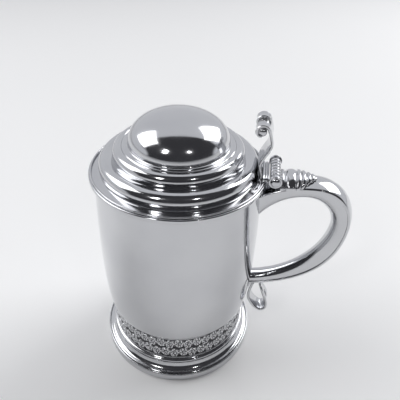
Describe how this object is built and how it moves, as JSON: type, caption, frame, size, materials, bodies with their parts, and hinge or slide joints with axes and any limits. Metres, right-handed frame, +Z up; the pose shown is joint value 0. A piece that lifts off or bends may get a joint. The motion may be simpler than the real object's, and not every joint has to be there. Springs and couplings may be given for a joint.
{
  "type": "lidded tankard",
  "caption": "Quart tankard with a bellied drum, moulded foot, leaf band, hollow scroll handle and stepped dome lid on a hinge with a scrolled thumbpiece.",
  "frame": {"origin": "centre of the bounding box, on the surface that the foot stands on; the vessel's own axis is 28.5 mm towards -X of it", "axes": "+Z up, +X from the vessel towards the handle, +Y along the lid hinge's pin"},
  "size_m": [0.173, 0.116, 0.1919],
  "materials": {
    "polished_pewter": "hand polished, bright, with fine rub marks",
    "chased_pewter": "cast leaf scrolls, bright on the tops and dark in the grounds",
    "inner_pewter": "turned satin, inside and underneath",
    "hinge_steel": "drawn pin"
  },
  "bodies": {
    "tankard": {"body_drum": "polished_pewter", "body_bottom": "inner_pewter", "foliate_band": "chased_pewter", "band_wire": "polished_pewter", "foot_moulding": "polished_pewter", "foot_wire": "polished_pewter", "handle_strap": "polished_pewter", "handle_channel": "polished_pewter", "handle_drop": "polished_pewter", "handle_tail_scroll": "polished_pewter", "hinge_pin": "hinge_steel", "hinge_pin_head_front": "polished_pewter", "hinge_pin_head_back": "polished_pewter", "handle_knuckle_1": "polished_pewter", "handle_knuckle_2": "polished_pewter", "handle_knuckle_3": "polished_pewter", "handle_knuckle_4": "polished_pewter"},
    "lid": {"lid_cover": "polished_pewter", "lid_rim_wire": "polished_pewter", "lid_bezel": "inner_pewter", "lid_hinge_plate": "polished_pewter", "thumbpiece": "polished_pewter", "lid_knuckle_1": "polished_pewter", "lid_knuckle_2": "polished_pewter", "lid_knuckle_3": "polished_pewter"}
  },
  "joints": [
    {"name": "lid_hinge", "type": "hinge", "parent": "tankard", "child": "lid", "pos_m": [0.03298, 0, 0.1562], "axis": [0, 1, 0], "range_deg": [0, 98]}
  ]
}
